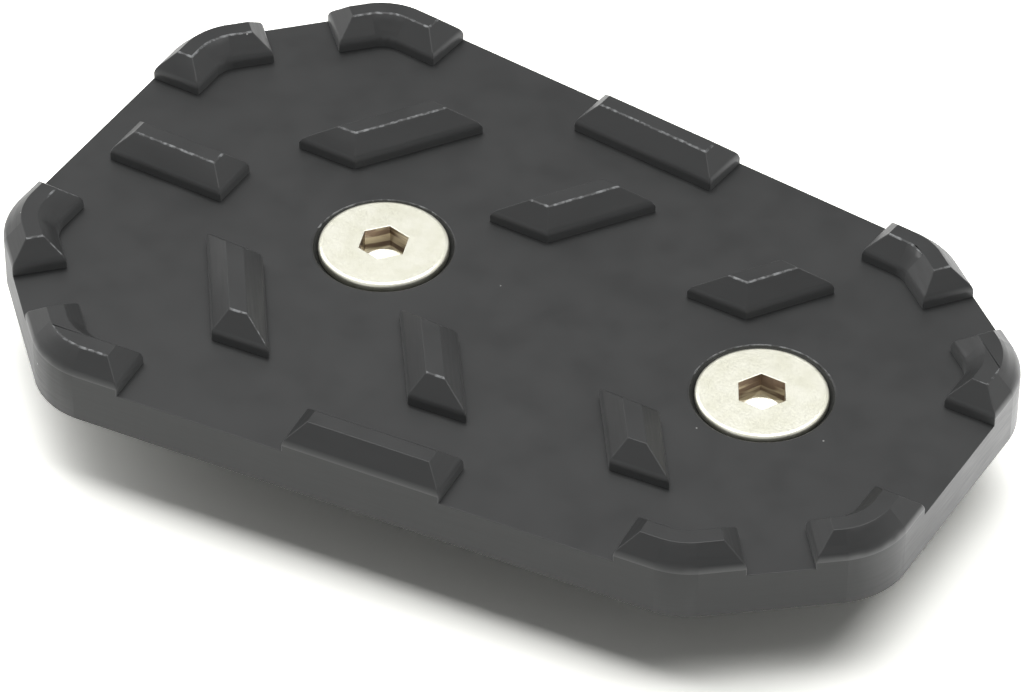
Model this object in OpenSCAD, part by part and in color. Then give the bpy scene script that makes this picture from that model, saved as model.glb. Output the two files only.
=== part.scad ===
// Brake pedal extension: a studded tread plate, the bar that clamps it to the
// pedal's own pad, and the two countersunk socket screws that pull them together.
// +X runs along the plate to its narrow end, +Z is up. The origin is midway
// between the screws, on the underside of the clamp bar, which the part stands on.

/* [Tread plate] */
// Distance between the two screws
screw_gap = 40; // [38:0.5:44]
// From the middle of the screws to the wide end
wide_reach = 52; // [50:0.5:58]
// From the middle of the screws to the narrow end
narrow_reach = 40; // [38:0.5:44]
// Width across the wide shoulders
wide_w = 61.9; // [58:0.1:68]
// Width across the narrow shoulders
narrow_w = 51; // [48:0.5:56]
// Width of the wide end's flat face
wide_face_w = 32.7; // [30:0.1:36]
// Width of the narrow end's flat face
narrow_face_w = 27.7; // [26:0.1:30]
// How far the shoulders sit back from each end
shoulder_in = 14.6; // [13:0.1:16]
// Radius of the eight plan corners
corner_r = 8; // [6.5:0.5:9]
// Thickness of the plate under the studs
plate_t = 4.5; // [4.5:0.5:7]

/* [Studs] */
// Width of a stud at its foot
stud_w = 5.1; // [4.7:0.1:5.4]
// Height of the studs above the plate
stud_h = 2.8; // [2.2:0.1:3.2]
// Height of a stud's upright wall under its chamfer
stud_side = 1.05; // [0.8:0.05:1.4]
// Gap between a stud and its neighbour across the plate
stud_gap = 5.45; // [5:0.05:5.9]
// Angle of the slanted studs from the long axis
slant = 55; // [50:1:62]
// From a screw back to the slanted stud behind it
slant_back = 14.4; // [13.9:0.1:15.4]
// Length of the stud halfway along each long edge
edge_stud_len = 15.6; // [12:0.1:18]
// Length of the stud on the long axis
axis_stud_len = 12.4; // [11:0.1:13]
// From the wide end to the stud on the long axis
axis_stud_in = 3.2; // [2.8:0.1:4]
// Corner stud's arm along the wide end, from the sharp corner
wide_end_arm = 6.6; // [6.4:0.1:8]
// Corner studs' arms along the wide diagonals
wide_diag_arm = 7.1; // [6.7:0.1:8]
// Corner stud's arm along the long edge, wide shoulder
wide_side_arm = 7.9; // [6.7:0.1:9]
// Corner stud's arm along the long edge, narrow shoulder
narrow_side_arm = 6; // [5.5:0.1:7]
// Corner studs' arms along the narrow diagonals
narrow_diag_arm = 6.3; // [6.2:0.1:7]
// Corner stud's arm along the narrow end
narrow_end_arm = 7.1; // [6.8:0.1:8]

/* [Underside and clamp bar] */
// Length of the seat milled for the pedal's own pad
seat_l = 29; // [24:0.5:30]
// Width of the seat milled for the pedal's own pad
seat_w = 30; // [24:1:34]
// Depth of the seat
seat_depth = 1.5; // [1:0.1:1.7]
// Corner radius left by the cutter in the seat
seat_r = 4; // [2:0.5:5]
// Free height between the plate's underside and the clamp bar
pad_gap = 4.4; // [4.4:0.1:5]
// Width of the clamp bar, and the diameter of its round ends
bar_w = 18; // [15:0.5:20]
// Thickness of the clamp bar
bar_t = 4; // [4:0.5:6]
// Chamfer round the clamp bar's faces
bar_edge = 0.5; // [0.3:0.1:0.8]

/* [Screws] */
// Diameter of the screw thread
screw_d = 6; // [5.6:0.1:6]
// Length of a screw, head included
screw_len = 12; // [11.5:0.5:12]
// Diameter of the countersunk head
head_d = 12.2; // [11.6:0.1:12.6]
// Straight rim of the head above its cone
head_rim = 0.6; // [0.4:0.05:0.7]
// How far the head sits below the plate's face
head_sink = 0.05; // [0.05:0.05:0.3]
// Width across the flats of the hexagon socket
socket_af = 4.2; // [3.8:0.1:4.4]
// Depth of the hexagon socket
socket_depth = 2.5; // [2:0.1:2.8]
// Turn of the left screw's socket
left_turn = 48; // [0:1:59]
// Turn of the right screw's socket
right_turn = 0; // [0:1:59]

/* [Hidden] */
$fn = 96;
// Clearance of the screw hole in the plate, on the diameter
hole_play = 0.6;
// Clearance round the head's rim, on the radius
head_play = 0.4;
// How far cutters run past a face
past = 1;
// Chamfer on the tip of a screw
tip_edge = 0.6;
// Step from the socket's flats in to its drilled point
drill_step = 0.05;
// Height of the drilled point under the socket
drill_point = 0.8;
// How far the slanted studs' pitch exceeds half the screw distance
pitch_more = 1.05;
// How far each corner's arc is tucked inside its edges, so that they cross cleanly
tuck = 0.01;
// How far the edge studs sit towards the narrow end from mid-edge
edge_stud_shift = 0.84;
// Two halves make a whole, and a hexagon's flats are this far round
half = 0.5;
hex_sides = 6;
black = "#2B2C2E";
bar_black = "#242527";
steel = "#C9CACC";

plate_z = bar_t + pad_gap;
plate_top = plate_z + plate_t;
stud_edge = stud_h - stud_side;
near_line = stud_w * half + stud_gap;
far_line = stud_w + stud_gap;
slant_pitch = screw_gap * half + pitch_more;
slant_start = -screw_gap * half - slant_back;
head_top = plate_top - head_sink;
head_cone = (head_d - screw_d) * half;
hole_d = screw_d + hole_play;
mouth_r = head_d * half + head_rim + head_sink;
socket_od = socket_af / cos(180 / hex_sides);
reach = wide_reach + narrow_reach;

// Plan corners, counterclockwise from the narrow end, far side first
corners = [
    [narrow_reach, narrow_face_w * half],
    [narrow_reach - shoulder_in, narrow_w * half],
    [shoulder_in - wide_reach, wide_w * half],
    [-wide_reach, wide_face_w * half],
    [-wide_reach, -wide_face_w * half],
    [shoulder_in - wide_reach, -wide_w * half],
    [narrow_reach - shoulder_in, -narrow_w * half],
    [narrow_reach, -narrow_face_w * half]
];
// Arms of the corner studs, before and after each corner
arms_in = [
    narrow_end_arm, narrow_diag_arm, wide_side_arm, wide_diag_arm,
    wide_end_arm, wide_diag_arm, narrow_side_arm, narrow_diag_arm
];
arms_out = [
    narrow_diag_arm, narrow_side_arm, wide_diag_arm, wide_end_arm,
    wide_diag_arm, wide_side_arm, narrow_diag_arm, narrow_end_arm
];
count = len(corners);
// The long edges, by their first corner
far_side = 1;
near_side = 5;

function after(i) = corners[(i + 1) % count];
function before(i) = corners[(i + count - 1) % count];
function heading(i) = atan2(after(i)[1] - corners[i][1], after(i)[0] - corners[i][0]);
function approach(i) = atan2(corners[i][1] - before(i)[1], corners[i][0] - before(i)[0]);
function turn(i) = (heading(i) - approach(i) + 360) % 360;
function edge_len(i) = norm(after(i) - corners[i]);
function inset(i) = (corner_r - tuck) / cos(turn(i) * half);

// Puts a child on edge i: X along the edge from its first corner, Y inwards
module on_edge(i) {
    translate(corners[i])
        rotate([0, 0, heading(i)])
            children();
}

// Puts a child at the centre of corner i's arc, X outwards through the corner
module at_corner(i) {
    translate(corners[i])
        rotate([0, 0, approach(i) + turn(i) * half - 90])
            translate([-inset(i), 0, 0])
                children();
}

// Extrudes a section drawn as [inwards, up] along the X axis
module along_x(length) {
    rotate([90, 0, 90])
        linear_extrude(height = length)
            children();
}

// Sweeps a section drawn as [out from the arc's centre, up] round corner i
module round_corner(i) {
    at_corner(i)
        rotate([0, 0, -turn(i) * half])
            rotate_extrude(angle = turn(i))
                children();
}

// Stock the plate is milled from: a tapered octagon with round corners, its top
// edge chamfered all round as the outer side of the rim studs
module stock() {
    difference() {
        intersection_for (i = [0 : count - 1])
            on_edge(i)
                translate([-wide_w, 0, 0])
                    along_x(edge_len(i) + 2 * wide_w)
                        polygon([
                            [0, -plate_t], [2 * reach, -plate_t], [2 * reach, stud_h],
                            [stud_edge, stud_h], [0, stud_side]
                        ]);
        for (i = [0 : count - 1])
            round_corner(i)
                polygon([
                    [corner_r, -plate_t - past], [2 * corner_r, -plate_t - past],
                    [2 * corner_r, stud_h + past], [corner_r - stud_edge - past, stud_h + past],
                    [corner_r, stud_side]
                ]);
    }
}

// Floor area inside the rim studs, its walls chamfered outwards at the top
module floor_cut() {
    difference() {
        intersection_for (i = [0 : count - 1])
            on_edge(i)
                translate([-wide_w, 0, 0])
                    along_x(edge_len(i) + 2 * wide_w)
                        polygon([
                            [stud_w, 0], [2 * reach, 0], [2 * reach, stud_h + past],
                            [stud_w - stud_edge - past, stud_h + past], [stud_w, stud_side]
                        ]);
        for (i = [0 : count - 1])
            round_corner(i)
                polygon([
                    [corner_r - stud_w, -past], [corner_r, -past],
                    [corner_r, stud_side + stud_w], [corner_r - stud_w, stud_side]
                ]);
    }
}

// Gap in the rim on edge i, from a to b along it, with chamfered ends
module rim_gap(i, a, b) {
    on_edge(i)
        translate([0, stud_w + past, 0])
            rotate([90, 0, 0])
                linear_extrude(height = stud_w + 2 * past)
                    polygon([
                        [a, 0], [b, 0], [b, stud_side], [b + stud_edge + past, stud_h + past],
                        [a - stud_edge - past, stud_h + past], [a, stud_side]
                    ]);
}

// Gaps on an edge that carries no stud between its corners
module open_gap(i) {
    rim_gap(i, arms_out[i], edge_len(i) - arms_in[(i + 1) % count]);
}

// Gaps on a long edge, to each side of its own stud; the stud sits at middle + shift
module split_gap(i, shift) {
    middle = edge_len(i) * half + shift;
    rim_gap(i, arms_out[i], middle - edge_stud_len * half);
    rim_gap(i, middle + edge_stud_len * half, edge_len(i) - arms_in[(i + 1) % count]);
}

// Section of a free stud: upright walls, 45 degree chamfers, a narrow flat crest
module stud_section() {
    polygon([
        [0, -past], [stud_w, -past], [stud_w, stud_side],
        [stud_w - stud_edge, stud_h], [stud_edge, stud_h], [0, stud_side]
    ]);
}

// End of a slanted stud: a wall and chamfer on the X axis, solid on the +Y side
module end_face() {
    translate([-reach, 0, 0])
        along_x(2 * reach)
            polygon([
                [0, -past], [wide_w, -past], [wide_w, stud_h + past],
                [stud_edge + past, stud_h + past], [0, stud_side]
            ]);
}

// The three slanted studs on the near side of the axis
module slanted_studs() {
    intersection() {
        translate([0, -near_line, 0])
            rotate([0, 0, 180])
                end_face();
        on_edge(near_side)
            translate([0, far_line, 0])
                end_face();
        for (i = [0 : 2])
            translate([slant_start + i * slant_pitch, -near_line, 0])
                rotate([0, 0, -slant])
                    translate([-past, 0, 0])
                        along_x(wide_w * half)
                            stud_section();
    }
}

// The stud on the long axis, chamfered at both ends
module axis_stud() {
    translate([axis_stud_in - wide_reach, -stud_w * half, 0])
        intersection() {
            along_x(axis_stud_len)
                stud_section();
            translate([0, stud_w + past, 0])
                rotate([90, 0, 0])
                    linear_extrude(height = stud_w + 2 * past)
                        polygon([
                            [0, -past], [axis_stud_len, -past], [axis_stud_len, stud_side],
                            [axis_stud_len - stud_edge - past, stud_h + past],
                            [stud_edge + past, stud_h + past], [0, stud_side]
                        ]);
        }
}

// Everything milled away between the studs, down to the plate's face
module valleys() {
    difference() {
        union() {
            floor_cut();
            for (i = [0, 2, 3, 4, 6, 7])
                open_gap(i);
            split_gap(far_side, -edge_stud_shift);
            split_gap(near_side, edge_stud_shift);
        }
        slanted_studs();
        mirror([0, 1, 0])
            slanted_studs();
        axis_stud();
    }
}

// Hole and 90 degree countersink for one screw, measured up from the plate's underside;
// the countersink ends in a straight wall, a little wider than the head's rim
module screw_hole() {
    r = hole_d * half;
    rim_r = head_d * half + head_play;
    rotate_extrude()
        polygon([
            [0, -past], [r, -past], [r, plate_t - mouth_r + r],
            [rim_r, plate_t - mouth_r + rim_r], [rim_r, plate_t + past], [0, plate_t + past]
        ]);
}

// Shallow seat for the pedal's own pad, with the cutter's radius in its corners
module seat() {
    x = seat_l * half - seat_r;
    y = seat_w * half - seat_r;
    translate([0, 0, -past])
        linear_extrude(height = seat_depth + past) {
            square([seat_l, 2 * y], center = true);
            square([2 * x, seat_w], center = true);
            for (sx = [-1, 1])
                for (sy = [-1, 1])
                    translate([sx * x, sy * y])
                        circle(r = seat_r);
        }
}

// Milled plate with its stud field, one piece
module tread_plate() {
    color(black)
        translate([0, 0, plate_z])
            difference() {
                translate([0, 0, plate_t])
                    difference() {
                        stock();
                        valleys();
                    }
                for (side = [-1, 1])
                    translate([side * screw_gap * half, 0, 0])
                        screw_hole();
                seat();
            }
}

// Round-ended bar section by section: a chamfer, the body, a chamfer
module bar_slice(low, high, height) {
    for (side = [-1, 1])
        translate([side * screw_gap * half, 0, 0])
            cylinder(r1 = low, r2 = high, h = height);
    rotate([90, 0, 90])
        linear_extrude(height = screw_gap, center = true)
            polygon([[-low, 0], [low, 0], [high, height], [-high, height]]);
}

// Bar under the pedal's pad, tapped for the two screws
module clamp_bar() {
    r = bar_w * half;
    color(bar_black)
        difference() {
            union() {
                bar_slice(r - bar_edge, r, bar_edge);
                translate([0, 0, bar_edge])
                    bar_slice(r, r, bar_t - 2 * bar_edge);
                translate([0, 0, bar_t - bar_edge])
                    bar_slice(r, r - bar_edge, bar_edge);
            }
            for (side = [-1, 1])
                translate([side * screw_gap * half, 0, -past])
                    cylinder(d = screw_d, h = bar_t + 2 * past);
        }
}

// Countersunk socket screw, turned as it was tightened
module screw(side, turned) {
    r = screw_d * half;
    tip = head_top - screw_len;
    cone = head_top - head_rim - head_cone;
    color(steel)
        translate([side * screw_gap * half, 0, 0])
            difference() {
                rotate_extrude()
                    polygon([
                        [0, tip], [r - tip_edge, tip], [r, tip + tip_edge], [r, cone],
                        [head_d * half, cone + head_cone], [head_d * half, head_top], [0, head_top]
                    ]);
                translate([0, 0, head_top - socket_depth])
                    rotate([0, 0, turned])
                        cylinder(d = socket_od, h = socket_depth + past, $fn = hex_sides);
                translate([0, 0, head_top - socket_depth - drill_point])
                    cylinder(r1 = 0, r2 = socket_af * half - drill_step, h = drill_point);
            }
}

module screw_left() {
    screw(-1, left_turn);
}

module screw_right() {
    screw(1, right_turn);
}

tread_plate();
clamp_bar();
screw_left();
screw_right();
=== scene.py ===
# %% [markdown]
# # Brake pedal extension
#
# This part bolts onto a motorbike's small brake pedal and gives the boot a wider,
# studded place to stand. The solids come from the part's own source; this lesson
# dresses them: it eases the milled edges, gives each metal its finish, and sets the
# photograph's camera, floor and light. All lengths are in metres.

# %% Load the frame
import math

import bmesh
import bpy
from mathutils import Matrix, Vector


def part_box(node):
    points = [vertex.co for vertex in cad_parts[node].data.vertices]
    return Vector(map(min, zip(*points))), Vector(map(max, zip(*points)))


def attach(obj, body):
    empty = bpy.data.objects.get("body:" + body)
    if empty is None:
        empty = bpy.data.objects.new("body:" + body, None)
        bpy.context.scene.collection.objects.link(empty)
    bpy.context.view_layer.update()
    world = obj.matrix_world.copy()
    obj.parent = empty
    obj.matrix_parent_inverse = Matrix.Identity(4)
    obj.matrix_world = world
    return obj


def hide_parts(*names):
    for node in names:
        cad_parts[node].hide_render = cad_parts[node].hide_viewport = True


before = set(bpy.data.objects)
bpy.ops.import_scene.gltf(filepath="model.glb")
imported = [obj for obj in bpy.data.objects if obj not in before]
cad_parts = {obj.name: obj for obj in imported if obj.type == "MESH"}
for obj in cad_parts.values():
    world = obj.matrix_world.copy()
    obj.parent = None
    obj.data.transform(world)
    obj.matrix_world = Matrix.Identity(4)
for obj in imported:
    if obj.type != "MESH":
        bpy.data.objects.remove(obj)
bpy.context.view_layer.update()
scene = bpy.context.scene
MM = 0.001
for name in sorted(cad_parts):
    low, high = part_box(name)
    print(name, [round((b - a) / MM, 2) for a, b in zip(low, high)], "mm")

# %% [markdown]
# ## The camera
#
# The photograph was taken from about half a metre with a long lens, 41 degrees above
# the plate and 30 degrees round from its long side. A camera can be placed by eye, but
# then no edge of the render lies quite on the photograph's, and nothing can be measured
# from one to the other. So this one was found by fitting the plate's corners, its studs
# and both screw heads at once, and its numbers are written here as they came out.
#
# It aims at a point on the plate's face, which lies one stud's height below the top of
# the solid. A camera looks along its own -Z axis, so its three axes are the columns of
# its rotation.

# %% Camera
IMAGE_WIDTH_PX = 1024
FOCAL_PX = 5452.36
SENSOR_WIDTH_MM = 36.0
AZIMUTH, ELEVATION, ROLL = (math.radians(a) for a in (30.48, 41.31, 0.29))
DISTANCE = 495.34 * MM
FARTHEST_SEEN = 50
STUD_H = 2.8 * MM
CREST_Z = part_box("tread_plate")[1][2]
PLATE_FACE_Z = CREST_Z - STUD_H
TARGET = Vector((-2.533 * MM, -6.114 * MM, PLATE_FACE_Z))

towards_camera = Vector(
    (
        math.sin(AZIMUTH) * math.cos(ELEVATION),
        -math.cos(AZIMUTH) * math.cos(ELEVATION),
        math.sin(ELEVATION),
    )
)
level_right = (-towards_camera).cross(Vector((0, 0, 1))).normalized()
level_up = towards_camera.cross(level_right)
right = level_right * math.cos(ROLL) + level_up * math.sin(ROLL)
up = level_up * math.cos(ROLL) - level_right * math.sin(ROLL)

camera_data = bpy.data.cameras.new("camera")
camera_data.sensor_width = SENSOR_WIDTH_MM
camera_data.lens = FOCAL_PX / IMAGE_WIDTH_PX * SENSOR_WIDTH_MM
camera_data.clip_end = FARTHEST_SEEN
camera = bpy.data.objects.new("camera", camera_data)
scene.collection.objects.link(camera)
camera.matrix_world = Matrix.Translation(TARGET + towards_camera * DISTANCE) @ (
    Matrix((right, up, towards_camera)).transposed().to_4x4()
)
scene.camera = camera
print("lens", round(camera_data.lens, 1), "mm, plate face", round(PLATE_FACE_Z / MM, 2), "mm up")

# %% [markdown]
# ## Helpers for materials
#
# Colours are written as they look on screen, in sRGB hex, and one function turns them
# to the linear values that shaders use. Nodes could be placed and wired one by one, but
# the wiring would hide the recipe. So one more function adds a node, applies its
# settings, and sets or links its inputs. An input goes by its name, with _ for a space,
# or by its number after an i where several inputs share one name.

# %% Colour and node helpers
def linear(hex_colour):
    shares = [int(hex_colour[i : i + 2], 16) / 255 for i in (1, 3, 5)]
    return [v / 12.92 if v <= 0.04045 else ((v + 0.055) / 1.055) ** 2.4 for v in shares] + [1]


def add(tree, kind, settings=None, **inputs):
    node = tree.nodes.new("ShaderNode" + kind)
    for key, value in (settings or {}).items():
        setattr(node, key, value)
    for key, value in inputs.items():
        numbered = key[0] == "i" and key[1:].isdigit()
        socket = node.inputs[int(key[1:]) if numbered else key.replace("_", " ")]
        if isinstance(value, bpy.types.NodeSocket):
            tree.links.new(value, socket)
        else:
            socket.default_value = value
    return node


def material(name):
    made = bpy.data.materials.new(name)
    made.use_nodes = True
    made.node_tree.nodes.clear()
    return made, made.node_tree


print("middle grey in linear values:", [round(v, 3) for v in linear("#808080")])

# %% [markdown]
# ## Black anodised aluminium
#
# The plate and the bar are milled from aluminium, lightly blasted and anodised black.
# The anodic film is clear aluminium oxide full of dye: dark inside, with a satin,
# glassy surface that turns brighter where it is seen at a shallow angle. It could be a
# dark metal, but a metal has no such clear skin, so a Principled shader without metal
# is used, with the index of a glassy film.
#
# Its black is a little cloudy. Where the surface stands upright its colour is painted
# greyer, most of all round the studs: painted light standing in for the light that the
# walls catch. Two materials with a seam between them could show that, but the painted
# light changes by degrees, so its colour follows the slope of the surface.

# %% Colour of the anodic film, with painted wall light
CLOUD = 9 * MM
NOISE_LOW, NOISE_HIGH = 0.3, 0.7
FACING_UP, UPRIGHT = 0.69, 0.05


def film_with_painted_wall_light(tree, place, painted_wall_light):
    cloud = add(tree, "TexNoise", Vector=place, Scale=1 / CLOUD, Detail=4.0)
    tone = add(
        tree,
        "MapRange",
        Value=cloud.outputs[0],
        From_Min=NOISE_LOW,
        From_Max=NOISE_HIGH,
    )
    face = add(
        tree,
        "Mix",
        {"data_type": "RGBA"},
        i0=tone.outputs[0],
        i6=linear("#171818"),
        i7=linear("#1D1E1E"),
    )
    normal = add(tree, "NewGeometry").outputs["Normal"]
    level = add(tree, "SeparateXYZ", Vector=normal).outputs["Z"]
    # Painted light: the more upright a face, the more it takes the lighter wall colour.
    wall = add(tree, "MapRange", Value=level, From_Min=FACING_UP, From_Max=UPRIGHT)
    film_and_wall_light = add(
        tree,
        "Mix",
        {"data_type": "RGBA"},
        i0=wall.outputs[0],
        i6=face.outputs[2],
        i7=linear(painted_wall_light),
    )
    return film_and_wall_light.outputs[2]


# %% [markdown]
# ## Wear, painted highlight and lint
#
# On the crests of the studs, where a boot stands, the film is rubbed through in short
# dashes, and the same lighter dashes are painted highlight on the edges that turn towards
# the lamp. A noise with a sharp threshold gives dashes of uneven length, which a regular
# pattern would not. A few specks of lint lie on every face. Loose grains of mesh would
# do, but they would be pieces of their own, so the specks are the middles of a Voronoi
# pattern's cells, most of them left out by the chance number that each cell carries as
# its colour.

# %% Bare metal, painted highlight and lint over the film
DASH_SIZE = 0.6 * MM
DASH_FROM, DASH_TO = 0.44, 0.64
LINT_GAP = 3.5 * MM
LINT_SIZE = 0.028
LINT_CHANCE = 0.28


def with_wear_and_highlight(tree, place, film_and_wall_light, most_wear_and_highlight):
    dash_noise = add(tree, "TexNoise", Vector=place, Scale=1 / DASH_SIZE, Detail=3.0)
    wear_and_highlight_share = add(
        tree,
        "MapRange",
        Value=dash_noise.outputs[0],
        From_Min=DASH_FROM,
        From_Max=DASH_TO,
        To_Max=most_wear_and_highlight,
    )
    # Lighter dashes: bare metal where worn, and painted highlight on the edges given this finish.
    dashed_colour = add(
        tree, "Mix", {"data_type": "RGBA"}, i0=wear_and_highlight_share.outputs[0], i6=film_and_wall_light, i7=linear("#838586")
    )
    return dashed_colour.outputs[2]


def with_lint(tree, place, colour):
    cells = add(tree, "TexVoronoi", Vector=place, Scale=1 / LINT_GAP)
    chance = add(tree, "SeparateXYZ", Vector=cells.outputs["Color"]).outputs["X"]
    near = add(tree, "Math", {"operation": "LESS_THAN"}, i0=cells.outputs["Distance"], i1=LINT_SIZE)
    few = add(tree, "Math", {"operation": "GREATER_THAN"}, i0=chance, i1=1 - LINT_CHANCE)
    lint = add(tree, "Math", {"operation": "MULTIPLY"}, i0=near.outputs[0], i1=few.outputs[0])
    specked = add(
        tree, "Mix", {"data_type": "RGBA"}, i0=lint.outputs[0], i6=colour, i7=linear("#9C9C9A")
    )
    return specked.outputs[2]


# %% [markdown]
# ## The anodised finishes
#
# Milling marks run level round every stud. They could be drawn along each stud's own
# sides, but one noise that is squeezed along Z does it for all: on a flat face it hardly
# changes, on a wall it draws fine level lines. A finer noise stands for the blasting.
# Both are finer than a pixel on the real part, and are drawn as coarse as they need to
# be to show. The same recipe gives three finishes: the blasted face with its outer walls
# painted a little lighter, the stud with its walls painted lighter still, and the edge
# finish with bare metal and painted highlight.

# %% Material: black anodised aluminium
BLAST_GRAIN = 0.16 * MM
MILL_MARK = 0.22 * MM
LEVEL_LINES = (0.06, 0.06, 1)
FILM_SMOOTH, FILM_ROUGH = 0.38, 0.48
FILM_IOR = 1.5


def black_anodised(name, painted_wall_light, most_wear_and_highlight=0.0):
    made, tree = material(name)
    place = add(tree, "TexCoord").outputs["Object"]
    film_and_wall_light = film_with_painted_wall_light(tree, place, painted_wall_light)
    colour = with_lint(tree, place, with_wear_and_highlight(tree, place, film_and_wall_light, most_wear_and_highlight))
    squeeze = add(tree, "Mapping", Vector=place, Scale=LEVEL_LINES)
    marks = add(tree, "TexNoise", Vector=squeeze.outputs[0], Scale=1 / MILL_MARK, Detail=2.0)
    grain = add(tree, "TexNoise", Vector=place, Scale=1 / BLAST_GRAIN, Detail=2.0)
    rough = add(
        tree,
        "MapRange",
        Value=marks.outputs[0],
        From_Min=NOISE_LOW,
        From_Max=NOISE_HIGH,
        To_Min=FILM_SMOOTH,
        To_Max=FILM_ROUGH,
    )
    fine = add(tree, "Bump", Height=grain.outputs[0], Strength=0.12, Distance=0.02 * MM)
    bumped = add(
        tree,
        "Bump",
        Height=marks.outputs[0],
        Normal=fine.outputs[0],
        Strength=0.14,
        Distance=0.03 * MM,
    )
    shader = add(
        tree,
        "BsdfPrincipled",
        Base_Color=colour,
        Roughness=rough.outputs[0],
        Normal=bumped.outputs[0],
        IOR=FILM_IOR,
    )
    add(tree, "OutputMaterial", Surface=shader.outputs[0])
    print(name, "walls", painted_wall_light, "bared to", most_wear_and_highlight)
    return made


# Painted light: outer walls a little lighter in the first, stud and countersink walls lighter still
# in the others.
anodised_face = black_anodised("black_anodised_aluminium", "#383939")
anodised_stud_painted_wall_light = black_anodised("black_anodised_aluminium_stud_painted_wall_light", "#5E5F5F")
anodised_wear_and_highlight = black_anodised("black_anodised_aluminium_wear_and_painted_highlight", "#5E5F5F", most_wear_and_highlight=0.75)

# %% [markdown]
# ## Stainless steel
#
# The screws are stainless, their heads turned and then blasted, so they look almost
# white with a soft, slightly warm sheen. Blasted steel could be drawn with a strong
# bump, but at this size single pits don't show. So most of it is roughness that varies
# with a fine grain, and a faint smear in the tint breaks up the large pale faces.

# %% Material: stainless steel
STEEL_GRAIN = 0.2 * MM
STEEL_SMEAR = 1.8 * MM

stainless, tree = material("stainless_steel")
place = add(tree, "TexCoord").outputs["Object"]
grain = add(tree, "TexNoise", Vector=place, Scale=1 / STEEL_GRAIN, Detail=2.0)
rough = add(
    tree,
    "MapRange",
    Value=grain.outputs[0],
    From_Min=NOISE_LOW,
    From_Max=NOISE_HIGH,
    To_Min=0.34,
    To_Max=0.46,
)
smear = add(tree, "TexNoise", Vector=place, Scale=1 / STEEL_SMEAR, Detail=3.0)
blend = add(tree, "MapRange", Value=smear.outputs[0], From_Min=0.35, From_Max=0.65)
tint = add(
    tree,
    "Mix",
    {"data_type": "RGBA"},
    i0=blend.outputs[0],
    i6=linear("#DBDACA"),
    i7=linear("#E4E3D6"),
)
bumped = add(tree, "Bump", Height=grain.outputs[0], Strength=0.1, Distance=0.02 * MM)
shader = add(
    tree,
    "BsdfPrincipled",
    Base_Color=tint.outputs[2],
    Metallic=1.0,
    Roughness=rough.outputs[0],
    Normal=bumped.outputs[0],
)
add(tree, "OutputMaterial", Surface=shader.outputs[0])
print("steel:", stainless.name)

# %% [markdown]
# ## The sockets' walls
#
# The socket's walls get a darker, brownish steel than the head, as painted shade in the
# recess, with level light bands in its colour as painted highlight.

# %% Material: socket walls with painted shade and highlight
LIGHT_BAND_SIZE = 0.62 * MM
LEVEL_BANDS = (0.12, 0.12, 1)

socket_painted_shade_and_highlight, tree = material("stainless_steel_socket_painted_shade_and_highlight")
place = add(tree, "TexCoord").outputs["Object"]
squeeze = add(tree, "Mapping", Vector=place, Scale=LEVEL_BANDS)
light_bands = add(tree, "TexNoise", Vector=squeeze.outputs[0], Scale=1 / LIGHT_BAND_SIZE, Detail=2.0)
blend = add(tree, "MapRange", Value=light_bands.outputs[0], From_Min=0.45, From_Max=0.58)
# Painted shade and highlight: dark and light bands by height, darker overall than the head.
tint = add(
    tree,
    "Mix",
    {"data_type": "RGBA"},
    i0=blend.outputs[0],
    i6=linear("#86756A"),
    i7=linear("#D8CDBA"),
)
shader = add(tree, "BsdfPrincipled", Base_Color=tint.outputs[2], Metallic=1.0, Roughness=0.3)
add(tree, "OutputMaterial", Surface=shader.outputs[0])
print("socket:", socket_painted_shade_and_highlight.name)

# %% [markdown]
# ## Copies of the solids
#
# The solids have sharp edges and come as loose triangles. They could be modelled again
# by hand, but then they might not fill the same space. So each is copied, its triangles
# are merged and its flat faces cleaned, which leaves a mesh that can be shaped further.

# %% Copy a solid
SAME_PLACE = 0.0005 * MM
SAME_PLANE = math.radians(0.4)


def clean_copy(node, finishes):
    piece = bpy.data.objects.new(node + "_eased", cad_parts[node].data.copy())
    scene.collection.objects.link(piece)
    bpy.ops.object.select_all(action="DESELECT")
    bpy.context.view_layer.objects.active = piece
    piece.select_set(True)
    piece.data.materials.clear()
    for finish in finishes:
        piece.data.materials.append(finish)
    triangles = len(piece.data.polygons)
    bpy.ops.object.mode_set(mode="EDIT")
    bpy.ops.mesh.select_all(action="SELECT")
    bpy.ops.mesh.remove_doubles(threshold=SAME_PLACE)
    bpy.ops.mesh.dissolve_limited(angle_limit=SAME_PLANE)
    bpy.ops.mesh.select_all(action="DESELECT")
    bpy.ops.object.mode_set(mode="OBJECT")
    piece.data.polygons.foreach_set("material_index", [0] * len(piece.data.polygons))
    print(node, triangles, "triangles cleaned to", len(piece.data.polygons), "faces")
    return piece


# %% [markdown]
# ## Eased edges
#
# A milled edge is never a perfect corner. The cutter leaves a small fillet at the foot
# of each stud, and blasting turns the outer edges over by a tenth or two of a
# millimetre. One bevel of one width for all would be the simplest, but it would blur
# the crests or leave the foot too sharp. So each edge gets its own width as a bevel
# weight, which a function for that piece reads from the edge's place and from whether
# it is an outer corner. Edges that turn less than 25 degrees belong to round walls and
# stay as they are. The faces that the bevel makes take the piece's last material.

# %% Ease the edges of a copy
SHARP = math.radians(25)


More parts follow.
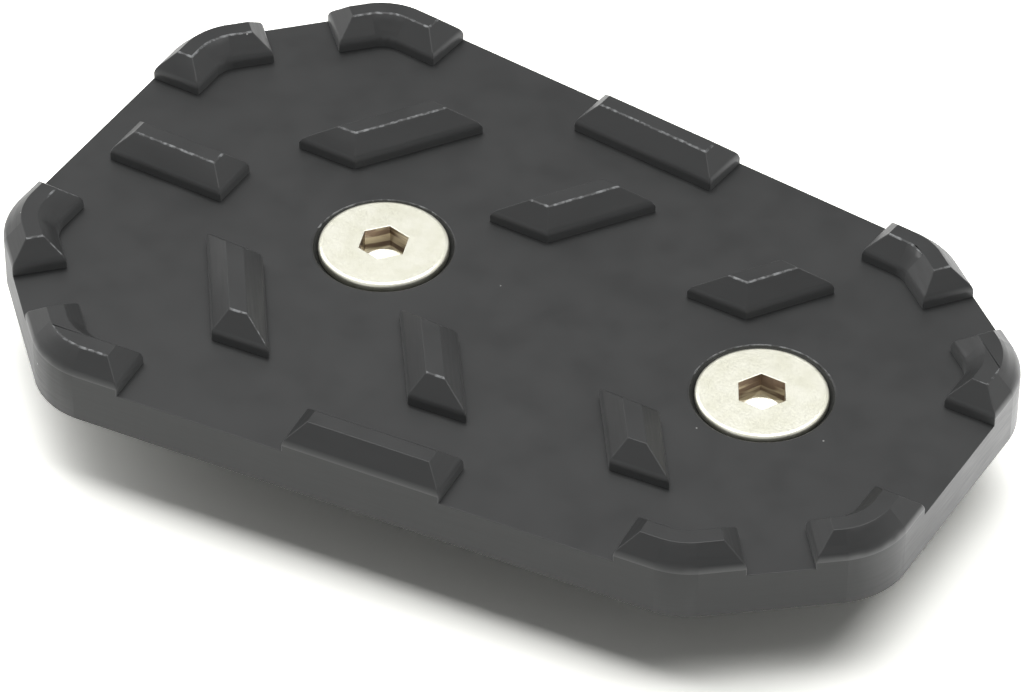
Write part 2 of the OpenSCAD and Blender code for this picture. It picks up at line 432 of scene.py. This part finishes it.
def ease(piece, width_of, steps):
    shape = bmesh.new()
    shape.from_mesh(piece.data)
    widths = []
    for edge in shape.edges:
        turn = edge.calc_face_angle_signed(0)
        widths.append(width_of(edge, turn > 0) if abs(turn) > SHARP else 0)
    shape.free()
    widest = max(widths)
    weights = piece.data.attributes.new("bevel_weight_edge", "FLOAT", "EDGE")
    weights.data.foreach_set("value", [w / widest for w in widths])
    bevel = piece.modifiers.new("eased_edges", "BEVEL")
    bevel.limit_method = "WEIGHT"
    bevel.width = widest
    bevel.segments = steps
    bevel.use_clamp_overlap = False
    bevel.material = len(piece.data.materials) - 1
    bevel.harden_normals = True
    bpy.ops.object.modifier_apply(modifier=bevel.name)
    print(piece.name, sum(w > 0 for w in widths), "edges eased, up to", round(widest / MM, 2), "mm")


def heights(edge):
    return sorted(v.co.z for v in edge.verts)


# %% [markdown]
# ## Where the tread plate is worn and painted with highlight
#
# The crests of the back and left studs, on the edges that face the front, take a lighter
# finish: film rubbed through, and painted highlight on edges turned towards the camera.
# One mitre of the two left studs of the near row takes the same finish as painted
# highlight. The studs at the right and front keep the plain film. The marks could be
# painted by hand, but a few tests of an edge's place and direction say the same and hold
# if a size changes. The lips of the two countersinks take it only behind the screws, as
# painted highlight where the metal turns towards the light.

# %% Tests of place and direction
FRONT = Vector((0.507, -0.862, 0))
SCREW_X = sum(side[0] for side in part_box("screw_right")) / 2
SCREW_REACH = 7 * MM
WORN_AND_LIT_SLOPE = 0.59
WORN_AND_LIT_START = 14 * MM
WORN_AND_LIT_END_X = 40 * MM
NEAR_ROW_FRONT, NEAR_ROW_BACK = -22 * MM, -5 * MM
LEANING, MOSTLY_FRONT = 0.05, 0.5


def near_screw(point):
    return math.hypot(abs(point.x) - SCREW_X, point.y) < SCREW_REACH


def worn_and_highlit_region(point):
    return point.y > WORN_AND_LIT_SLOPE * point.x - WORN_AND_LIT_START and point.x < WORN_AND_LIT_END_X


def near_row(point):
    return point.x < 0 and NEAR_ROW_FRONT < point.y < NEAR_ROW_BACK


# FRONT is the side towards the camera: crest edges facing it get painted highlight as well as wear.
def faces_front(normal):
    flat = normal.xy
    return flat.length > LEANING and flat.normalized().dot(FRONT.xy) > MOSTLY_FRONT


def behind_screw(point):
    away = Vector((point.x - math.copysign(SCREW_X, point.x), point.y)).normalized()
    return -away.dot(FRONT.xy)


print("screws at", round(SCREW_X / MM, 2), "mm either side of the middle")

# %% [markdown]
# ## The tread plate's edges
#
# From the top down they are the crests, broader where the boot rubs them; the turn from
# each chamfer to its wall; the lips of the countersinks, 0.3 mm wide in front of a screw
# and 0.1 mm behind it; the almost sharp edge of the face between the rim studs; and the
# fillet at the foot. The edges could be picked by number, but a number changes when the
# solid does, so each is known by its height.

# %% Widths of the plate's edges
STUD_SIDE = 1.05 * MM
SAME_HEIGHT = 0.03 * MM
RUBBED_WIDTH, CREST_WIDTH = 0.14 * MM, 0.05 * MM
TURN_WIDTH, FOOT_WIDTH = 0.4 * MM, 0.09 * MM
WIDEST_LIP, LIP_FALL, PLAIN_LIP = 0.3 * MM, 0.2 * MM, 0.04 * MM


def lip_width(point):
    if not near_screw(point):
        return PLAIN_LIP
    return WIDEST_LIP - LIP_FALL * min(max(2 * behind_screw(point) - 0.2, 0), 1)


def plate_widths(edge, outer):
    low, high = heights(edge)
    if low > CREST_Z - SAME_HEIGHT:
        turned = edge.link_faces[0].normal + edge.link_faces[1].normal
        worn = worn_and_highlit_region(edge.verts[0].co) and faces_front(turned)
        return RUBBED_WIDTH if worn else CREST_WIDTH
    if abs(low - PLATE_FACE_Z - STUD_SIDE) < SAME_HEIGHT and high - low < SAME_HEIGHT:
        return TURN_WIDTH
    if high < PLATE_FACE_Z + SAME_HEIGHT and low > PLATE_FACE_Z - SAME_HEIGHT:
        return lip_width((edge.verts[0].co + edge.verts[1].co) / 2) if outer else 0
    return FOOT_WIDTH


# %% [markdown]
# ## The tread plate
#
# The plate has three finishes: the blasted face with its outer walls painted lighter, the
# walls of studs and countersinks painted lighter still, and the edges with wear and
# painted highlight. It could be cut apart by finish, but then the eased edges would open
# at the seams. So it stays one mesh, and each face takes its finish by place: the bevel's
# faces start with the wear-and-highlight finish, and keep it only where the tests above
# give wear and painted highlight.

# %% Tread plate
COUNTERSINK_DEPTH = 3.6 * MM
MITRE_START = 0.5 * MM
LIT_LIP, LIT_MITRE, LEVEL = 0.35, 0.4, 0.9
FACE, STUD, WEAR_AND_HIGHLIGHT = 0, 1, 2


# Faces that keep the lighter edge finish: worn crests facing the camera, and as painted highlight
# the lips behind the screws and one mitre.
def gets_wear_and_highlight(face):
    middle = face.center
    if middle.z > CREST_Z - RUBBED_WIDTH:
        return worn_and_highlit_region(middle) and faces_front(face.normal)
    if near_screw(middle) and middle.z > PLATE_FACE_Z - RUBBED_WIDTH:
        return behind_screw(middle) > LIT_LIP
    sloped = middle.z > PLATE_FACE_Z + STUD_SIDE + MITRE_START
    return sloped and near_row(middle) and worn_and_highlit_region(middle) and face.normal.x > LIT_MITRE


def sort_finishes(piece):
    for face in piece.data.polygons:
        if face.material_index == WEAR_AND_HIGHLIGHT and gets_wear_and_highlight(face):
            continue
        on_stud = face.center.z > PLATE_FACE_Z + SAME_HEIGHT
        sunk = near_screw(face.center) and face.center.z > PLATE_FACE_Z - COUNTERSINK_DEPTH
        face.material_index = STUD if on_stud or (sunk and face.normal.z < LEVEL) else FACE


plate = clean_copy("tread_plate", [anodised_face, anodised_stud_painted_wall_light, anodised_wear_and_highlight])
ease(plate, plate_widths, 3)
sort_finishes(plate)
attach(plate, "root")
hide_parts("tread_plate")
print(plate.name, len(plate.data.polygons), "faces")

# %% [markdown]
# ## The clamp bar
#
# The bar grips the pedal's own pad from below. Its edges could be sorted like the
# plate's, but a maker only breaks them all alike with a file, and so does this bevel.

# %% Clamp bar
BAR_EDGE_WIDTH = 0.12 * MM

bar = clean_copy("clamp_bar", [anodised_face])
ease(bar, lambda edge, outer: BAR_EDGE_WIDTH, 2)
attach(bar, "root")
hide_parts("clamp_bar")
print(bar.name, len(bar.data.polygons), "faces")

# %% [markdown]
# ## The screws' heads
#
# Each screw is countersunk, with a hexagon socket. Its rim is turned over well, so that
# the pale top fades into the dark ring round it, and the socket's mouth a little. In the
# photograph the two heads stand a little above their even seats, each by its own
# amount. The whole screw could be lifted, but its thread would then leave its place in
# the bar. So only the head and the socket's bottom are raised, and the tip of the
# drilled point under the bottom stays.

# %% Screw heads
screw_low, screw_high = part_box("screw_right")
HEAD_TOP, TIP_Z = screw_high[2], screw_low[2]
HEAD_R = (screw_high[0] - screw_low[0]) / 2
RIM_WIDTH, MOUTH_WIDTH, SHANK_WIDTH = 0.4 * MM, 0.07 * MM, 0.08 * MM
RIM_BAND = 0.1 * MM
SOCKET_REACH, SOCKET_DEPTH = 3 * MM, 3.5 * MM
WALL_REACH, WALL_DEPTH = 2.4 * MM, 2.6 * MM
RAISED_DEPTH = 0.5 * MM
BOTTOM_REACH, BOTTOM_DEPTH = 2.6 * MM, 3.2 * MM
BOTTOM_LAG = 0.06 * MM
UPRIGHT_WALL = 0.3
SOCKET, STEEL = 0, 1


def screw_widths(axis_x):
    def width_of(edge, outer):
        low, high = heights(edge)
        radius = min(math.hypot(v.co.x - axis_x, v.co.y) for v in edge.verts)
        if low > HEAD_TOP - SAME_HEIGHT:
            return RIM_WIDTH if radius > HEAD_R - RIM_BAND else MOUTH_WIDTH
        if high > HEAD_TOP - SOCKET_DEPTH and radius < SOCKET_REACH:
            return 0
        return SHANK_WIDTH

    return width_of


def mark_socket(piece, axis_x):
    for face in piece.data.polygons:
        radius = math.hypot(face.center.x - axis_x, face.center.y)
        inside = radius < WALL_REACH and face.center.z > HEAD_TOP - WALL_DEPTH
        face.material_index = SOCKET if inside and abs(face.normal.z) < UPRIGHT_WALL else STEEL


def raise_head(piece, axis_x, stand):
    for v in piece.data.vertices:
        radius = math.hypot(v.co.x - axis_x, v.co.y)
        if v.co.z > HEAD_TOP - RAISED_DEPTH:
            v.co.z += stand
        elif v.co.z > HEAD_TOP - BOTTOM_DEPTH and radius < BOTTOM_REACH:
            v.co.z += stand - BOTTOM_LAG


print("heads", round(2 * HEAD_R / MM, 2), "mm across, tips", round(TIP_Z / MM, 2), "mm up")

# %% [markdown]
# ## The screws' threads
#
# The solid's shank is a plain cylinder as wide as the thread. A thread could be a bump
# in the finish, but its outline would stay straight. So the shank is drawn in to the
# thread's root and a helical ridge is wound round it: an M6 thread with 1 mm of pitch.
# The ridge starts as one small four-cornered section, which a Screw modifier winds up
# the shank.

# %% Shank and thread
PITCH = 1.0 * MM
SHANK_R = 3 * MM
THREAD_R, ROOT_R = 2.98 * MM, 2.45 * MM
HEAD_DEPTH = 3.7 * MM
SHANK_TOP = HEAD_TOP - HEAD_DEPTH + 0.2 * MM
DRILLED_R = 1 * MM
THREAD_START = 0.95 * MM
FOOT_HALF, CREST_HALF = 0.44 * PITCH, 0.07 * PITCH
TURNS = 7
STEPS_PER_TURN = 36


def draw_in_shank(piece, axis_x):
    bpy.ops.object.mode_set(mode="EDIT")
    bpy.ops.mesh.select_mode(type="VERT")
    bpy.ops.mesh.select_all(action="DESELECT")
    bpy.ops.object.mode_set(mode="OBJECT")
    for v in piece.data.vertices:
        radius = math.hypot(v.co.x - axis_x, v.co.y)
        v.select = v.co.z < SHANK_TOP and radius > DRILLED_R
    bpy.ops.object.mode_set(mode="EDIT")
    thin = ROOT_R / SHANK_R
    bpy.ops.transform.resize(value=(thin, thin, 1), center_override=(axis_x, 0, 0))
    bpy.ops.object.mode_set(mode="OBJECT")


def thread_ridge(axis_x):
    bpy.ops.object.select_all(action="DESELECT")
    bpy.ops.mesh.primitive_circle_add(vertices=4, radius=PITCH / 2, location=(0, 0, 0))
    ridge = bpy.context.object
    foot_r = ROOT_R - 0.1 * MM
    lower = [(foot_r, -FOOT_HALF), (THREAD_R, -CREST_HALF)]
    upper = [(THREAD_R, CREST_HALF), (foot_r, FOOT_HALF)]
    for v, (radius, rise) in zip(ridge.data.vertices, lower + upper):
        v.co = (radius, 0, TIP_Z + THREAD_START + rise)
    screw = ridge.modifiers.new("thread", "SCREW")
    screw.axis = "Z"
    screw.screw_offset = PITCH
    screw.iterations = TURNS
    screw.steps = screw.render_steps = STEPS_PER_TURN
    bpy.ops.object.modifier_apply(modifier=screw.name)
    bpy.ops.object.mode_set(mode="EDIT")
    bpy.ops.mesh.select_all(action="SELECT")
    bpy.ops.mesh.fill_holes(sides=4)
    bpy.ops.mesh.select_all(action="SELECT")
    bpy.ops.mesh.normals_make_consistent(inside=False)
    bpy.ops.transform.translate(value=(axis_x, 0, 0))
    bpy.ops.object.mode_set(mode="OBJECT")
    for finish in (socket_painted_shade_and_highlight, stainless):
        ridge.data.materials.append(finish)
    ridge.data.polygons.foreach_set("material_index", [STEEL] * len(ridge.data.polygons))
    return ridge


print("thread", TURNS, "turns of", round(PITCH / MM, 2), "mm")

# %% [markdown]
# ## The two screws
#
# One screw could be dressed and copied, but the two sockets are turned differently, as
# two screws always end up, so each is dressed from its own solid. The head and the
# thread are joined into one mesh, because they are one piece of steel.

# %% Screws
def dressed_screw(node, axis_x, stand):
    screw = clean_copy(node, [socket_painted_shade_and_highlight, stainless])
    mark_socket(screw, axis_x)
    draw_in_shank(screw, axis_x)
    ease(screw, screw_widths(axis_x), 4)
    raise_head(screw, axis_x, stand)
    ridge = thread_ridge(axis_x)
    bpy.ops.object.select_all(action="DESELECT")
    ridge.select_set(True)
    screw.select_set(True)
    bpy.context.view_layer.objects.active = screw
    bpy.ops.object.join()
    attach(screw, "root")
    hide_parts(node)
    print(screw.name, len(screw.data.polygons), "faces")


dressed_screw("screw_left", -SCREW_X, stand=0.36 * MM)
dressed_screw("screw_right", SCREW_X, stand=0.18 * MM)

# %% [markdown]
# ## The floor
#
# The photograph stands on plain white paper with a soft shadow under the near edge. The
# paper is over-bright there: it clips to white all round, and only the shadow is left.
# More light would do that too, but it would bleach the part. So the paper is near white
# for the light that it sends on, and brighter than white only where the camera looks at
# it, which keeps the shadow.

# %% Floor
FLOOR_SIZE = 8
PAPER_SEEN = (1.75, 1.75, 1.68, 1)

bpy.ops.object.select_all(action="DESELECT")
bpy.ops.mesh.primitive_plane_add(size=FLOOR_SIZE, location=(0, 0, 0))
floor = bpy.context.object
floor.name = "floor"

paper, tree = material("white_paper")
rays = add(tree, "LightPath")
white = add(
    tree,
    "Mix",
    {"data_type": "RGBA"},
    i0=rays.outputs["Is Camera Ray"],
    i6=linear("#FDFDFA"),
    i7=PAPER_SEEN,
)
diffuse = add(tree, "BsdfDiffuse", Color=white.outputs[2])
floor.data.materials.append(paper)
print(floor.name, FLOOR_SIZE, "m wide,", paper.name)

# %% [markdown]
# ## What the walls mirror
#
# The part's satin walls show more of the paper than its own light gives, most of all
# behind the part and past its right end. Lamps there would light the floor and the
# shadow as well. So the paper gets a glow that only glossy rays see, strongest there.

# %% The paper's glow
RIGHT_END = (0.9, 0.43, 0)
FRONT_GLOW, BACK_GLOW, RIGHT_GLOW = 0.15, 0.75, 2.0
BACK_EDGE = 20 * MM
RIGHT_FROM, RIGHT_TO = 36 * MM, 50 * MM

place = add(tree, "TexCoord").outputs["Object"]
forwards = add(tree, "VectorMath", {"operation": "DOT_PRODUCT"}, i0=place, i1=tuple(FRONT))
behind = add(
    tree,
    "MapRange",
    Value=forwards.outputs["Value"],
    From_Min=BACK_EDGE,
    From_Max=-BACK_EDGE,
    To_Min=FRONT_GLOW,
    To_Max=BACK_GLOW,
)
rightwards = add(tree, "VectorMath", {"operation": "DOT_PRODUCT"}, i0=place, i1=RIGHT_END)
beside = add(
    tree,
    "MapRange",
    Value=rightwards.outputs["Value"],
    From_Min=RIGHT_FROM,
    From_Max=RIGHT_TO,
    To_Min=FRONT_GLOW,
    To_Max=RIGHT_GLOW,
)
sweep = add(tree, "Math", {"operation": "MAXIMUM"}, i0=behind.outputs[0], i1=beside.outputs[0])
glow = add(
    tree, "Math", {"operation": "MULTIPLY"}, i0=rays.outputs["Is Glossy Ray"], i1=sweep.outputs[0]
)
light = add(tree, "Emission", Color=(1, 1, 1, 1), Strength=glow.outputs[0])
both = add(tree, "AddShader", i0=diffuse.outputs[0], i1=light.outputs[0])
add(tree, "OutputMaterial", Surface=both.outputs[0])
print("glow", FRONT_GLOW, "in front,", BACK_GLOW, "behind,", RIGHT_GLOW, "at the right")

# %% [markdown]
# ## The room
#
# The world is a white room. It could be an image of a studio, but two gradients by
# direction are enough: the walls grow lighter towards the front left, and one corner is
# lighter at the back right. Only the camera and glossy rays see them, and the light
# that the world gives the part stays even and weak.

# %% World
WORLD_LIGHT = 0.13
LEFT_WALL, RIGHT_CORNER = (-0.6, -0.8, 0), (0.7, 0.7, 0)
WALL_DIM, WALL_BRIGHT = 0.53, 1.0
CORNER_LIGHT = 0.7

world = bpy.data.worlds.new("studio")
scene.world = world
world.use_nodes = True
tree = world.node_tree
tree.nodes.clear()
rays = add(tree, "LightPath")
seen = add(
    tree,
    "Math",
    {"operation": "MAXIMUM"},
    i0=rays.outputs["Is Camera Ray"],
    i1=rays.outputs["Is Glossy Ray"],
)
outwards = add(tree, "TexCoord").outputs["Generated"]
leftwards = add(tree, "VectorMath", {"operation": "DOT_PRODUCT"}, i0=outwards, i1=LEFT_WALL)
walls = add(
    tree,
    "MapRange",
    Value=leftwards.outputs["Value"],
    From_Min=-0.2,
    From_Max=0.8,
    To_Min=WALL_DIM,
    To_Max=WALL_BRIGHT,
)
cornerwards = add(tree, "VectorMath", {"operation": "DOT_PRODUCT"}, i0=outwards, i1=RIGHT_CORNER)
corner = add(
    tree,
    "MapRange",
    Value=cornerwards.outputs["Value"],
    From_Min=0.43,
    From_Max=0.9,
    To_Max=CORNER_LIGHT,
)
room = add(tree, "Math", {"operation": "ADD"}, i0=walls.outputs[0], i1=corner.outputs[0])
strength = add(tree, "Mix", i0=seen.outputs[0], i2=WORLD_LIGHT, i3=room.outputs[0])
background = add(tree, "Background", Color=(1, 1, 1, 1), Strength=strength.outputs[0])
add(tree, "OutputWorld", Surface=background.outputs[0])
scene.view_settings.view_transform = "Standard"
print("world light", WORLD_LIGHT, "walls", WALL_DIM, "to", WALL_BRIGHT)

# %% [markdown]
# ## The lamps
#
# The shadow is soft and lies a little in front of the part, so its light is wide and
# stands above and slightly behind. A small lamp or a sun would draw a hard edge. One
# large softbox hangs almost overhead, and a small weak one stands at the left, low
# enough to light the floor a little way under the plate's wide end.

# %% Lamps
def softbox(name, size, watts, place):
    lamp = bpy.data.lights.new(name, "AREA")
    lamp.shape = "RECTANGLE"
    lamp.size, lamp.size_y = size
    lamp.energy = watts
    made = bpy.data.objects.new(name, lamp)
    scene.collection.objects.link(made)
    made.location = place
    print(name, size, "m", watts, "W")
    return made


overhead = softbox("softbox_overhead", (1.7, 0.95), 18.0, (-0.1, 0.19, 1.1))
overhead.rotation_euler = (0, 0, math.radians(6))
left_side = softbox("softbox_left", (0.4, 0.5), 1.6, (-0.87, 0.03, 0.5))
left_side.rotation_euler = left_side.location.to_track_quat("Z", "Y").to_euler()
